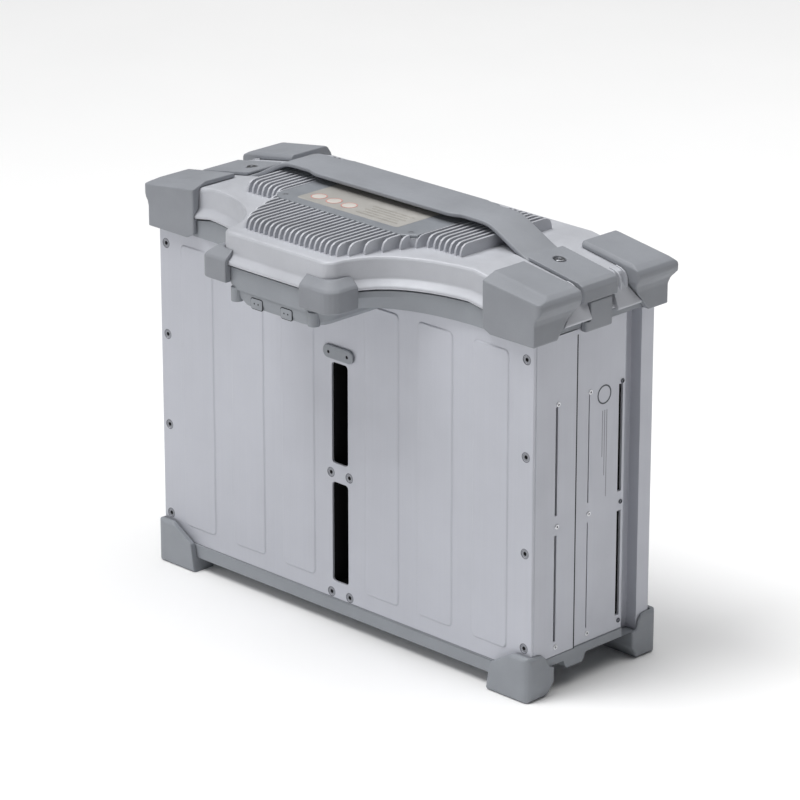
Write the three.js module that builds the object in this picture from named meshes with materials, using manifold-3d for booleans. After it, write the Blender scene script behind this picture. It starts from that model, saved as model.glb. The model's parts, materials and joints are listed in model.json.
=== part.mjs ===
// A rugged, air-cooled battery power pack with a finned cast top and a carry strap.
// Millimetres, +Z up. The model is laid out from the front panel: x = 0 is the middle of the
// pack, y = 0 the front panel's outer face, z = 0 the ground under the feet.
import * as THREE from 'three';
import { mergeVertices } from 'three/addons/utils/BufferGeometryUtils.js';
import Module from 'manifold-3d';

const wasm = await Module();
wasm.setup();

// ---- driving dimensions ------------------------------------------------------------------

const gap = 0.3;                 // between neighbouring pieces
const caseHalfWidth = 186;       // side faces
const caseDepth = 121.5;         // front panel face to rear wall face
const caseMiddleY = caseDepth / 2;
const sheet = 2;                 // front and side panel thickness
const thinSheet = 1.5;           // rear shell thickness
const panelFoot = 21;            // lower edge of the front panel
const sideFoot = 27.5;           // lower edge of the side faces
const caseTop = 261;             // where the panels end and the top frame starts

const ribWidth = 33.5;           // raised panels pressed into the front
const ribProud = 0.8;
const ribBottom = 33;
const ribTop = 251;
const ribCentres = [42.1, 94, 146.5];

const airSlotHalf = 8;           // two tall air slots in the middle of the front
const airSlots = [[34, 110], [124.5, 200]];
const edgeScrewX = 179.2;
const edgeScrewZ = [38, 108, 178.2, 248];
const slotScrewX = 9.2;
const slotScrewZ = [25, 116.5, 207.5];
const screwHole = 3.4;
const screwSink = 6.6;

const sideSlotZ = [[38, 116.5], [131, 210]];
const channels = [               // air channels between the cell layers, front to rear
  { name: 'front', y: 23.3, slot: 2.2, outer: 3.6 },
  { name: 'middle', y: 56.6, slot: 1, outer: 3.6 },
  { name: 'rear', y: 88.7, slot: 4, outer: 5.2 },
];
const seamY = 44.4;              // the side panels step inwards here
const creaseWidth = 0.6;
const creaseDepth = 1.7;
const panelEndY = 93;            // side panel ends at the guide groove
const grooveEndY = 107.8;
const grooveFloorX = 176.5;
const panelRecess = 1;           // how far the rear part of a side panel lies in

const trayBottom = 10.2;
const trayDeepX = 152;
const trayFloor = 13.2;

const wingY = 0.5;               // front wall of the cover beside the overhang
const coverRearY = 121;
const coverEndX = 183;
const overhangRight = 53;        // the connector overhang in front, measured from x = 0
const overhangLeft = 57;
const overhangY = -60;
const overhangCorner = 10;
const breakX = 128;              // the cover's ends slope down from here
const endSlope = 0.17;
const coverFoot = 277.8;
const coverTop = 300;
const coverCeiling = 296;
const endCeiling = 289;
const lip = 5;
const finTop = 309;
const finPitch = 5;
const finThickness = 1.8;
const finCount = 21;             // on each side of the middle one
const plateHalf = 70;            // label plate and the fins cut away for it
const plateFrontY = 0;
const plateRearY = 98;
const finRearY = 103;

const frameTop = 276.2;
const frameOffset = 2.4;
const deckTop = 263.5;
const housingBottom = 251;
const housingHalf = 47;
const housingY = -61.5;
const postRight = 36;            // round posts at the housing's front corners
const postLeft = 40.3;
const postY = -59.3;

const strapTop = 317;
const strapThickness = 3.2;
const strapHalf = 16.5;
const gripHalf = 20;
const gripEndX = 67;
const anchorX = 138;
const anchorScrewX = 152;

const hingeY = -54.2;
const hingeZ = 254.6;
const buttonX = 100;
const buttonZ = 289.5;

const cellThickness = 13.2;
const cellInnerX = 12;
const cellOuterX = 172;
const cellBottom = 24;
const cellTop = 254;

// ---- materials ---------------------------------------------------------------------------

const paint = (color, roughness, metalness) =>
  new THREE.MeshStandardMaterial({ color, roughness, metalness });
const panelPaint = paint(0xb2b5bc, 0.45, 0.3);
const coverPaint = paint(0xc4c6ca, 0.5, 0.3);
const guardPlastic = paint(0x868a90, 0.6, 0);
const trayPlastic = paint(0x888d93, 0.6, 0);
const strapRubber = paint(0x999da3, 0.7, 0);
const steel = paint(0xb9bcc0, 0.3, 1);
const blackPlastic = paint(0x1c1d20, 0.5, 0);
const brass = paint(0xc9a24a, 0.3, 1);
const copper = paint(0xb87333, 0.35, 1);
const cellFilm = paint(0x9aa3ad, 0.35, 0.6);
const ductAluminium = paint(0xa8abb0, 0.4, 0.9);
const boardGreen = paint(0x1f5a3c, 0.5, 0);
const padBlue = paint(0x7d93a8, 0.9, 0);
const sealRubber = paint(0x2a2b2e, 0.85, 0);
const lensPlastic = paint(0xe7ebef, 0.2, 0);

// ---- geometry helpers --------------------------------------------------------------------

// Merged triangles of a closed geometry as a solid.
function solid(geometry) {
  const bare = geometry.clone();
  bare.deleteAttribute('normal');
  bare.deleteAttribute('uv');
  const merged = mergeVertices(bare, 1e-4);
  return new wasm.Manifold(new wasm.Mesh({
    numProp: 3,
    vertProperties: new Float32Array(merged.attributes.position.array),
    triVerts: new Uint32Array(merged.index.array),
  }));
}

function geometryOf(body) {
  const mesh = body.getMesh();
  const geometry = new THREE.BufferGeometry();
  geometry.setAttribute('position', new THREE.BufferAttribute(mesh.vertProperties, 3));
  geometry.setIndex(new THREE.BufferAttribute(mesh.triVerts, 1));
  geometry.computeVertexNormals();
  return geometry;
}

const union = (...bodies) => bodies.flat().reduce((whole, body) => whole.add(body));
const cut = (body, ...tools) => tools.flat().reduce((rest, tool) => rest.subtract(tool), body);

// Six times the volume inside a triangle list, negative when its faces point inwards.
function signedVolume(positions, index) {
  const corner = (i) => new THREE.Vector3().fromArray(positions, 3 * i);
  let total = 0;
  for (let i = 0; i < index.length; i += 3) {
    total += corner(index[i]).dot(corner(index[i + 1]).cross(corner(index[i + 2])));
  }
  return total;
}

// A closed body through rings of points. Ring points are (y, z), (x, z) or (x, y) for the axis
// x, y or z; a ring lies at `at`, which is a number or a function of its point.
function loft(axis, rings) {
  const clockwise = THREE.ShapeUtils.isClockWise(rings[0].points);
  const turned = rings.map(({ points }) => (clockwise ? points.slice().reverse() : points));
  const count = turned[0].length;
  const positions = [];
  for (const [r, { at }] of rings.entries()) {
    for (const p of turned[r]) {
      const along = typeof at === 'function' ? at(p) : at;
      positions.push(...{ x: [along, p.x, p.y], y: [p.x, along, p.y], z: [p.x, p.y, along] }[axis]);
    }
  }
  const index = [];
  for (let r = 0; r + 1 < rings.length; r++) {
    for (let i = 0; i < count; i++) {
      const a = r * count + i;
      const b = r * count + (i + 1) % count;
      index.push(a, b, b + count, a, b + count, a + count);
    }
  }
  const top = (rings.length - 1) * count;
  for (const [a, b, c] of THREE.ShapeUtils.triangulateShape(turned[0], [])) index.push(a, c, b);
  for (const [a, b, c] of THREE.ShapeUtils.triangulateShape(turned.at(-1), [])) {
    index.push(top + a, top + b, top + c);
  }
  const geometry = new THREE.BufferGeometry();
  geometry.setAttribute('position', new THREE.Float32BufferAttribute(positions, 3));
  if (signedVolume(positions, index) < 0) index.reverse();
  geometry.setIndex(index);
  return solid(geometry);
}

const toPoints = (pairs) => pairs.map(([u, v]) => new THREE.Vector2(u, v));
const prism = (axis, pairs, from, to) =>
  loft(axis, [{ at: from, points: toPoints(pairs) }, { at: to, points: toPoints(pairs) }]);

function box(x0, x1, y0, y1, z0, z1) {
  const geometry = new THREE.BoxGeometry(x1 - x0, y1 - y0, z1 - z0);
  return solid(geometry.translate((x0 + x1) / 2, (y0 + y1) / 2, (z0 + z1) / 2));
}

// A cylinder or cone frustum from `from` to `to` along an axis; u and v are its centre.
function rod(axis, u, v, from, to, startRadius, endRadius = startRadius, sides = 16) {
  const geometry = new THREE.CylinderGeometry(endRadius, startRadius, to - from, sides);
  const middle = (from + to) / 2;
  if (axis === 'z') geometry.rotateX(Math.PI / 2).translate(u, v, middle);
  if (axis === 'x') geometry.rotateZ(-Math.PI / 2).translate(middle, u, v);
  if (axis === 'y') geometry.translate(u, middle, v);
  return solid(geometry);
}

// Points of a rectangle with a radius for each corner, starting at (u0, v0), counter-clockwise.
function roundedRing(u0, u1, v0, v1, radii, steps = 4) {
  const [a, b, c, d] = Array.isArray(radii) ? radii : [radii, radii, radii, radii];
  const corners = [[u0 + a, v0 + a, a, 180], [u1 - b, v0 + b, b, 270],
    [u1 - c, v1 - c, c, 0], [u0 + d, v1 - d, d, 90]];
  return corners.flatMap(([u, v, r, start]) => {
    if (r === 0) return [[u, v]];
    return Array.from({ length: steps + 1 }, (_, i) => {
      const angle = THREE.MathUtils.degToRad(start + 90 * i / steps);
      return [u + r * Math.cos(angle), v + r * Math.sin(angle)];
    });
  });
}

// The same body on the other side of the x = 0 plane.
function mirrored(body) {
  const geometry = geometryOf(body);
  geometry.scale(-1, 1, 1);
  geometry.index.array.reverse();
  return solid(geometry);
}

// The same body on the other side of the case's middle plane between front and rear.
function flipped(body, middleY = caseMiddleY) {
  const geometry = geometryOf(body);
  geometry.scale(1, -1, 1).translate(0, 2 * middleY, 0);
  geometry.index.array.reverse();
  return solid(geometry);
}

const pack = new THREE.Group();
const caseFrame = new THREE.Group();
pack.add(caseFrame);

function addPart(name, body, material) {
  const mesh = new THREE.Mesh(geometryOf(body), material);
  mesh.name = name;
  caseFrame.add(mesh);
}

// A right-hand piece and its mirror image on the left.
function addPair(name, body, material) {
  addPart(`${name}_right`, body, material);
  addPart(`${name}_left`, mirrored(body), material);
}

// ---- outline shared by the cover, its seal and the top frame --------------------------------

const endDrop = (x) => Math.max(0, Math.abs(x) - breakX) * endSlope;

// Plan points from a wing's inner end round one front corner of the overhang, on the right side
// of x = 0. `pull` draws the overhang's side in.
function overhangSide(half, offset, pull) {
  const side = half + offset - pull;
  const front = overhangY - offset;
  const wing = wingY - offset;
  const corner = overhangCorner + offset / 2;
  const sweep = new THREE.CubicBezierCurve(
    new THREE.Vector2(breakX, wing), new THREE.Vector2(100 - pull, wing - 2.5),
    new THREE.Vector2(side + 9, -12 - offset), new THREE.Vector2(side, -47));
  const points = sweep.getPoints(9).map((p) => [p.x, p.y]);
  for (let i = 1; i <= 5; i++) {
    const angle = i * Math.PI / 10;
    points.push([side - corner + corner * Math.cos(angle), front + corner - corner * Math.sin(angle)]);
  }
  return points;
}

// Plan points of the middle part, grown by `offset`: straight wings, an S-curve to each side of
// the overhang, and its rounded front corners.
function middleOutline(offset, pull = 0) {
  const right = overhangSide(overhangRight, offset, pull).reverse();
  const left = overhangSide(overhangLeft, offset, pull).map(([x, y]) => [-x, y]);
  return [...left, ...right, [breakX, coverRearY + offset], [-breakX, coverRearY + offset]];
}

function endOutline(offset) {
  const outer = coverEndX + offset;
  return roundedRing(breakX, outer, wingY - offset, coverRearY + offset, [0, 6, 6, 0], 3);
}

// A body through levels of the outline; its ends slope down with the cover.
function outlineBody(levels) {
  const ringsOf = (outline) => levels.map(({ z, offset, pull, flat }) => ({
    at: (p) => z - (flat ? 0 : endDrop(p.x)),
    points: toPoints(outline(offset, pull)),
  }));
  const end = loft('z', ringsOf(endOutline));
  return union(loft('z', ringsOf(middleOutline)), end, mirrored(end));
}

// The cover's outside without its fins, grown by `grow`.
function coverEnvelope(grow) {
  return outlineBody([
    { z: coverFoot - grow, offset: lip - 0.6 + grow },
    { z: coverFoot + 1.6, offset: lip + grow },
    { z: coverFoot + 3, offset: lip - 0.8 + grow },
    { z: coverFoot + 6.2, offset: 0.8 + grow },
    { z: coverFoot + 8, offset: grow },
    { z: coverTop - 2.2, offset: -0.3 + grow },
    { z: coverTop - 0.6 + grow, offset: -1.2 + grow },
    { z: coverTop + grow, offset: -3 + grow },
  ]);
}

// The top frame's outside; under the overhang it tapers in towards the housing.
function frameEnvelope(grow) {
  return outlineBody([
    { z: caseTop - grow, offset: frameOffset + grow, pull: 12, flat: true },
    { z: frameTop - 4.6, offset: frameOffset + grow, pull: 1 },
    { z: frameTop + grow, offset: frameOffset + grow },
  ]);
}

// ---- case: front panel, side panels, rear shell ---------------------------------------------

const counterSunk = (x, z) => union(
  rod('y', x, z, -1, sheet + 1, screwHole / 2, screwHole / 2, 10),
  rod('y', x, z, -0.01, 1.6, screwSink / 2, screwHole / 2, 10));

function frontPanel() {
  const w = caseHalfWidth;
  const plate = prism('z', roundedRing(-w, w, 0, sheet, [0.6, 0.6, 0, 0], 2), panelFoot, caseTop - gap);
  const ribs = ribCentres.flatMap((x) => [x, -x]).map((x) => {
    const ring = (inset) => toPoints(roundedRing(x - ribWidth / 2 + inset, x + ribWidth / 2 - inset,
      ribBottom + inset, ribTop - inset, 4 - inset));
    return loft('y', [{ at: 0.6, points: ring(0) }, { at: 0, points: ring(0) },
      { at: -ribProud, points: ring(0.8) }]);
  });
  const slots = airSlots.map(([z0, z1]) =>
    prism('y', roundedRing(-airSlotHalf, airSlotHalf, z0, z1, 2.5, 3), -2, sheet + 1));
  const screws = [
    ...edgeScrewZ.flatMap((z) => [counterSunk(edgeScrewX, z), counterSunk(-edgeScrewX, z)]),
    ...slotScrewZ.flatMap((z) => [counterSunk(slotScrewX, z), counterSunk(-slotScrewX, z)]),
  ];
  return cut(union(plate, ribs), slots, screws);
}

function sideSlotCuts({ y, slot }) {
  return sideSlotZ.map(([z0, z1]) =>
    box(-caseHalfWidth - 1, caseHalfWidth + 1, y - slot / 2, y + slot / 2, z0, z1));
}

// One sheet: a flange behind the front panel, the flush front part, a creased step inwards at the
// seam, the recessed rear part and a short flange at the guide groove.
function sidePanel() {
  const w = caseHalfWidth;
  const front = sheet + gap;
  const outer = w - panelRecess;
  const inner = outer - sheet;
  const profile = [[w - 12, front], [w - 0.8, front], [w, front + 0.8], [w, seamY - creaseWidth],
    [w - creaseDepth, seamY - creaseWidth], [w - creaseDepth, seamY], [outer, seamY],
    [outer, panelEndY], [inner - 5, panelEndY], [inner - 5, panelEndY - 1.4],
    [inner, panelEndY - 1.4], [inner, seamY - 2.4], [w - sheet, seamY - 3.4],
    [w - sheet, front + sheet], [w - 12, front + sheet]];
  return cut(prism('z', profile, sideFoot, caseTop - gap), channels.flatMap(sideSlotCuts));
}

function rearShell() {
  const t = thinSheet;
  const w = caseHalfWidth;
  const half = [[grooveFloorX, panelEndY + gap], [grooveFloorX, grooveEndY], [w, grooveEndY],
    [w, caseDepth - 2], [w - 0.6, caseDepth - 0.6], [w - 2, caseDepth]];
  const inside = [[w - t - 0.5, caseDepth - t], [w - t, caseDepth - t - 0.5], [w - t, grooveEndY + t],
    [grooveFloorX - t, grooveEndY + t], [grooveFloorX - t, panelEndY + gap]];
  const flip = (pairs) => pairs.map(([x, y]) => [-x, y]).reverse();
  const outline = [...half, ...flip(half), ...flip(inside), ...inside];
  return prism('z', outline, panelFoot, caseTop - gap);
}

// ---- bottom tray and feet --------------------------------------------------------------------

// The tray is deep between the feet and shallow above them.
function trayEnvelope(grow) {
  const side = caseHalfWidth + 0.4 + grow;
  const half = [[trayDeepX + grow, trayBottom - grow], [trayDeepX + 9 + grow, 19.4 - grow],
    [side, panelFoot - gap - grow], [side, sideFoot - gap + grow]];
  const profile = [...half, ...half.map(([x, z]) => [-x, z]).reverse()];
  return prism('y', profile, -0.6 - grow, caseDepth + 0.6 + grow);
}

function bottomTray() {
  const lug = (side) => {
    const profile = [[32.6, panelFoot + 1], [33.5, 18.6], [36.4, 14.4], [52.5, 14.4], [56.4, panelFoot + 1]];
    return prism('x', profile, side * 176, side * (caseHalfWidth + 0.4));
  };
  const hollow = (halfWidth, rearY) => {
    const half = [[trayDeepX - 1, trayFloor], [trayDeepX + 8, 22.2], [halfWidth, 23.2], [halfWidth, 40]];
    return prism('y', [...half, ...half.map(([x, z]) => [-x, z]).reverse()], 3.8, rearY);
  };
  const overFront = box(-200, 200, -2, sheet + gap, panelFoot - gap, 40);
  const overRear = box(-200, 200, panelEndY, caseDepth + 2, panelFoot - gap, 40);
  return cut(union(trayEnvelope(0), lug(1), lug(-1)), hollow(182, panelEndY - 1.5),
    hollow(grooveFloorX - 2, caseDepth - 2), overFront, overRear);
}

function frontFoot() {
  const fromFront = [[148.8, 0], [186.5, 0], [188.4, 2.5], [189.5, 10], [189.5, 22], [188.4, 31],
    [186.5, 33.6], [173, 33.6], [152.5, 21.5]];
  const fromSide = [[-6, 1.5], [-4.5, 0], [13.5, 0], [20.3, 10], [20.3, 21], [16, 22.6], [13, 29],
    [9.5, 32.4], [3, 34.2], [-3.5, 34.2], [-6, 31.5]];
  const plan = roundedRing(140, 189.5, -6, 30, [0, 7, 0, 0], 4);
  const block = prism('y', fromFront, -7, 30)
    .intersect(prism('x', fromSide, 140, 200)).intersect(prism('z', plan, -1, 40));
  const shell = box(0, caseHalfWidth + gap, -1.1, 60, panelFoot - 0.6, 60);
  return cut(block, trayEnvelope(gap), shell);
}

// ---- top frame with the connector housing ----------------------------------------------------

function housingRing(sideInset, frontInset) {
  return toPoints(roundedRing(-housingHalf + sideInset, housingHalf - sideInset,
    housingY + frontInset, -1.2, [14, 14, 0, 0], 5));
}

// Three levels, drawn in towards the bottom; `grow` makes the outside larger.
const housingOutside = (grow) => loft('z', [
  { at: housingBottom - grow, points: housingRing(7.5 - grow, 1.2 - grow) },
  { at: housingBottom + 4, points: housingRing(3 - grow, -grow) },
  { at: caseTop + 1, points: housingRing(-grow, -grow) },
]);

function topFrame() {
  const bay = outlineBody([
    { z: deckTop, offset: -1.6, pull: 12, flat: true },
    { z: frameTop + 1, offset: -1.6 },
  ]);
  const posts = [-postLeft, postRight].map((x) => rod('z', x, postY, housingBottom + 0.8, caseTop + 1, 4.3));
  const boardPosts = [[-105, 12], [105, 12], [-105, 108], [105, 108]].map(([x, y]) =>
    rod('z', x, y, deckTop - 1, 278.7, 3, 3, 10));
  const flapWell = prism('z', roundedRing(-36, 36, -58.2, -12, [0, 0, 3, 3], 2), 240, caseTop - 1);
  const socketHole = box(-30, 30, -49.5, -14.5, 250, deckTop + 1);
  const busSlots = [box(7.6, 20.4, 54.6, 59.4, 250, deckTop + 1),
    box(-20.4, -7.6, 54.6, 59.4, 250, deckTop + 1)];
  const pinHoles = rod('x', hingeY, hingeZ, -40, 40, 1.3, 1.3, 10);
  const body = union(cut(frameEnvelope(0), bay), housingOutside(0), posts, boardPosts);
  return cut(body, flapWell, socketHole, busSlots, pinHoles);
}

// ---- finned cover ----------------------------------------------------------------------------

// Where a fin starts: far back on the wings, far forward over the connector.
function finFront(x) {
  const t = THREE.MathUtils.smoothstep(Math.abs(x), 42, 78);
  return THREE.MathUtils.lerp(-48, 12, t);
}

function fin(x) {
  const front = finFront(x);
  const rear = Math.abs(x) < plateHalf ? plateFrontY + 8 : finRearY;
  const tip = (y, way) => [[y, coverTop - 1], [y + 0.5 * way, coverTop + 3.5],
    [y + 2.2 * way, coverTop + 6.8], [y + 5 * way, coverTop + 8.5], [y + 9 * way, finTop]];
  const end = Math.abs(x) < plateHalf ? [[rear, finTop], [rear, coverTop - 1]] : tip(rear, -1).reverse();
  return prism('x', [...tip(front, 1), ...end], x - finThickness / 2, x + finThickness / 2);
}

function plateRing(grow) {
  const w = plateHalf + grow;
  const y0 = plateFrontY - grow;
  const y1 = plateRearY + grow;
  return [[-w + 9, y0], [w - 9, y0], [w, y0 + 7], [w, y1 - 7], [w - 9, y1], [-w + 9, y1],
    [-w, y1 - 7], [-w, y0 + 7]];
}

// The sloping pocket in each end of the cover that takes the strap's tongue.
function tonguePocket(side) {
  const top = (x) => coverTop - endDrop(x);
  const profile = [[123, coverTop + 4], [163, coverTop + 4], [163, top(163) - 4.1],
    [131, top(131) - 4.1], [123, coverTop + 0.5]].map(([x, z]) => [side * x, z]);
  return prism('y', profile, caseMiddleY - strapHalf - 0.6, caseMiddleY + strapHalf + 0.6);
}

// Side outlines (y, z) of the two lips that hang from each end of the cover, beside the anchor.
const frontLipSide = [[36.9, 281.4], [36.9, 284], [42.7, 284], [42.7, 279.1], [50.6, 279.1], [50.8, 266], [23.8, 266],
  [24.5, 268], [33.9, 278.3]];
const rearLipSide = [[78.8, 284], [91, 284], [93.9, 278.3], [101.2, 267.6], [101.8, 266], [77.3, 266],
  [77.5, 279.1], [78.8, 279.1]];
const endRibY = [41.9, 84.6, 90.9];

function endLip(sideOutline) {
  const fromFront = [[182, 284], [185, 281], [187, 278.3], [191.4, 268.6], [191.4, 267.2],
    [190, 266.6], [186, 271], [182, 276]];
  return prism('y', fromFront, 20, 110).intersect(prism('x', sideOutline, 180, 195));
}

function heatsinkCover() {
  const middleHollow = loft('z', [
    { at: coverFoot - 2, points: toPoints(middleOutline(-3)) },
    { at: coverCeiling, points: toPoints(middleOutline(-3.5)) },
  ]).intersect(box(-breakX + 3, breakX - 3, -100, 200, 200, 400));
  const endHollow = loft('z', [
    { at: (p) => coverFoot - 14 - endDrop(p.x), points: toPoints(endHollowRing()) },
    { at: (p) => endCeiling - endDrop(p.x), points: toPoints(endHollowRing()) },
  ]);
  const ribs = [-1, 1].flatMap((side) => endRibY.map((y) => prism('y', [
    [176, 289], [176, 293], [181, 292], [184.6, 290], [186.6, 286.6], [187, 283], [187, 276.5],
    [182, 276.5], [182, 286]].map(([x, z]) => [side * x, z]), y - 0.6, y + 0.6)));
  const endLips = [endLip(frontLipSide), endLip(rearLipSide)].flatMap((body) => [body, mirrored(body)]);
  const fins = [];
  for (let i = -finCount; i <= finCount; i++) fins.push(fin(i * finPitch));
  const pedestal = prism('z', plateRing(0), coverTop - 1, finTop - 2.5);
  const plateRoom = prism('z', plateRing(0), finTop - 2.5, finTop + 5);
  const screwHoles = [-1, 1].map((side) =>
    rod('z', side * anchorScrewX, caseMiddleY, 270, 310, 2.6, 2.6, 12));
  const buttonHole = rod('y', buttonX, buttonZ, 112, 125, 4.9, 4.9, 16);
  const lensHole = prism('y', roundedRing(80, 90, buttonZ - 1.6, buttonZ + 1.6, 1.2, 2), 112, 125);
  const body = union(coverEnvelope(0), cut(union(fins), plateRoom), pedestal, ribs, endLips);
  return cut(body, middleHollow, endHollow, mirrored(endHollow), tonguePocket(1), tonguePocket(-1),
    screwHoles, buttonHole, lensHole);
}

function endHollowRing() {
  return roundedRing(breakX - 4, coverEndX - 3.5, wingY + 3.5, coverRearY - 3.5, [0, 3, 3, 0], 2);
}

// Room for the seal in the slit between the frame and the cover.
const sealRoom = () => outlineBody([{ z: frameTop - 1, offset: 1.9 }, { z: coverFoot + 1, offset: 1.9 }]);

function coverSeal() {
  const ring = (offset, low, high) => outlineBody([{ z: low, offset }, { z: high, offset }]);
  return cut(ring(1.6, frameTop + gap, coverFoot - gap), ring(-1, frameTop - 1, coverFoot + 1));
}

// ---- corner guards, bumpers, handle ----------------------------------------------------------

const guardBottom = 260;
const guardTop = 301.4;
const guardFall = 8;             // the top falls this much towards the outer edge
const guardInnerX = 143;
const guardOuterX = 196.4;
const guardRearY = 134.5;

// Side outlines of a guard at its inner and outer ends share these points; `fall` lowers the top.
function guardBlock(sideProfile, plan) {
  const share = (z) => THREE.MathUtils.clamp((z - 285) / 15, 0, 1);
  const ring = (fall) => toPoints(sideProfile.map(([y, z]) => [y, z - fall * share(z)]));
  const slab = loft('x', [{ at: guardInnerX, points: ring(0) }, { at: guardOuterX, points: ring(guardFall) }]);
  const fromFront = [[guardInnerX, 263.5], [150.5, guardBottom], [191, guardBottom], [191, 275],
    [192, 279], [195, 283], [guardOuterX, 286], [guardOuterX, 289], [194.8, 292], [190.5, 294.6],
    [guardInnerX, 310]];
  return slab.intersect(prism('y', fromFront, -20, 150)).intersect(prism('z', plan, 250, 320));
}

function hollowGuard(block) {
  const shells = box(0, caseHalfWidth + gap, -1.1, caseDepth + gap, 200, caseTop + gap);
  return cut(block, shells, frameEnvelope(gap), coverEnvelope(gap), sealRoom());
}

function frontGuard() {
  const sideProfile = [[-6, guardBottom], [17, guardBottom], [26.5, 272], [36, 281], [36, 299.5],
    [34.5, guardTop], [6, guardTop], [4, 300.6], [-6, 297.2]];
  const plan = roundedRing(guardInnerX, guardOuterX, -6, 36, [1, 3.5, 2, 1], 3);
  return hollowGuard(guardBlock(sideProfile, plan));
}

function rearGuard() {
  const lower = 128.5;
  const sideProfile = [[92, 283], [99, 272], [109, guardBottom], [lower, guardBottom], [lower, 274],
    [130, 278], [133.6, 283], [guardRearY, 286], [guardRearY, 289], [132.5, 296], [129, 301],
    [126, guardTop + 0.9], [94, guardTop + 0.9], [92, 300]];
  const plan = roundedRing(guardInnerX, guardOuterX, 92, guardRearY, [1, 2, 3.5, 1], 3);
  return hollowGuard(guardBlock(sideProfile, plan));
}

// A bumper over one front corner of the overhang, from innerX to outerX, right of x = 0.
function bumper(innerX, outerX, radius, postX) {
  const ring = (inset) => toPoints(roundedRing(innerX, outerX - inset, -68 + inset, -42, [0, radius, 0, 0], 5));
  const top = toPoints(roundedRing(innerX, outerX - 7, -60.5, -42, [0, radius / 2, 0, 0], 5));
  const block = loft('z', [{ at: 265.5, points: ring(0.6) }, { at: 266.3, points: ring(0) },
    { at: 281, points: ring(0) }, { at: 283, points: ring(1.2) }, { at: 288, points: top }]);
  const post = rod('z', postX, postY, 250, caseTop + 1.3, 4.7);
  return cut(block, housingOutside(gap + 0.4), post);
}

// The pieces that a bumper leaves room for are not symmetrical, so each side is cut by itself.
const seated = (body) => cut(body, coverEnvelope(gap), frameEnvelope(gap), sealRoom());

// The strap seen from the front: flat over the fins, down to a tongue in each end of the cover.
function strapBody() {
  const top = [[0, strapTop], [94, strapTop], [101, 316], [108, 313.2], [130, 301.6], [135, 299.3],
    [139.5, 297.9], [161, 294.2]];
  const low = top.map(([x, z]) => [x > 94 && x < 150 ? x - 1.5 : x, z - strapThickness]);
  const rightSide = [...low, ...top.slice().reverse()];
  const leftSide = rightSide.filter(([x]) => x > 0).map(([x, z]) => [-x, z]).reverse();
  const profile = [...rightSide, ...leftSide];
  const wide = gripHalf;
  const halfPlan = [[gripEndX, wide], [gripEndX + 4, wide - 0.6], [gripEndX + 9, strapHalf],
    [162, strapHalf]];
  const rightPlan = halfPlan.map(([x, y]) => [x, caseMiddleY + y]);
  const corners = [...rightPlan, ...halfPlan.map(([x, y]) => [x, caseMiddleY - y]).reverse()];
  const plan = [...corners, ...corners.map(([x, y]) => [-x, y]).reverse()];
  const holes = [-1, 1].map((side) => rod('z', side * anchorScrewX, caseMiddleY, 280, 310, 2.6, 2.6, 12));
  return cut(prism('y', profile, 30, 92).intersect(prism('z', plan, 280, 330)), holes);
}

function anchorBlock() {
  const profile = [[anchorX, 296], [anchorX, 300.4], [anchorX + 1, 301], [185, 293], [188.5, 291.2],
    [190.4, 287.5], [190.6, 279.5], [180, 279.5]];
  const plan = roundedRing(anchorX, 192, caseMiddleY - 17.5, caseMiddleY + 17.5, [2, 4, 4, 2], 3);
  const strapRoom = prism('y', [[130, 304], [139, 298.4], [163, 294.3], [163, 280], [130, 280]],
    caseMiddleY - strapHalf - 0.6, caseMiddleY + strapHalf + 0.6);
  const recess = rod('z', anchorScrewX, caseMiddleY, 296.6, 310, 4.7, 4.7, 20);
  const hole = rod('z', anchorScrewX, caseMiddleY, 280, 310, 2.6, 2.6, 12);
  const block = prism('y', profile, 30, 92).intersect(prism('z', plan, 270, 310));
  return cut(block, coverEnvelope(gap), strapRoom, recess, hole);
}

function anchorScrew() {
  const head = rod('z', anchorScrewX, caseMiddleY, 296.9, 298.7, 4.3, 3.9, 20);
  const shank = rod('z', anchorScrewX, caseMiddleY, 284, 297, 2.3, 2.3, 12);
  const drive = prism('z', Array.from({ length: 6 }, (_, i) => {
    const angle = i * Math.PI / 3;
    return [anchorScrewX + 1.7 * Math.cos(angle), caseMiddleY + 1.7 * Math.sin(angle)];
  }), 297.5, 300);
  return cut(union(head, shank), drive);
}

// A retaining tab on each side face, under the handle's anchor and behind the cover's front lip.
function sideTab() {
  const ring = (inset) => toPoints(roundedRing(46.6 + inset, 73 - inset, 258 + inset, 279.1 - inset, 1, 2));
  const tab = loft('x', [{ at: caseHalfWidth - panelRecess + gap, points: ring(0) },
    { at: caseHalfWidth + 3.4, points: ring(0) }, { at: caseHalfWidth + 4.2, points: ring(0.8) }]);
  const lipRoom = box(180, 200, 40, 51.2, 265.6, 290);
  return cut(tab, frameEnvelope(gap), coverEnvelope(gap), sealRoom(), lipRoom);
}

// ---- connector -------------------------------------------------------------------------------

function powerSocket() {
  const body = prism('z', roundedRing(-29.6, 29.6, -49.1, -14.9, 3, 2), 257, 264.5);
  const flange = prism('z', roundedRing(-34, 34, -54, -10, 3, 2), deckTop + gap, 267);
  const wells = [-14, 14].map((x) => rod('z', x, -32, 250, 264.6, 6.6, 6.6, 16));
  const stems = [-14, 14].map((x) => rod('z', x, -32, 250, 270, 3.1, 3.1, 12));
  const signalWell = box(-4.4, 4.4, -39, -25, 250, 263);
  return cut(union(body, flange), wells, stems, signalWell);
}

function terminal(x) {
  const outline = [[0, 258.5], [3.2, 258.5], [4.2, 259.6], [4.2, 263.9], [2.8, 264.2], [2.8, 272], [0, 272]];
  const geometry = new THREE.LatheGeometry(toPoints(outline), 16);
  return solid(geometry.rotateX(Math.PI / 2).translate(x, -32, 0));
}

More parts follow.
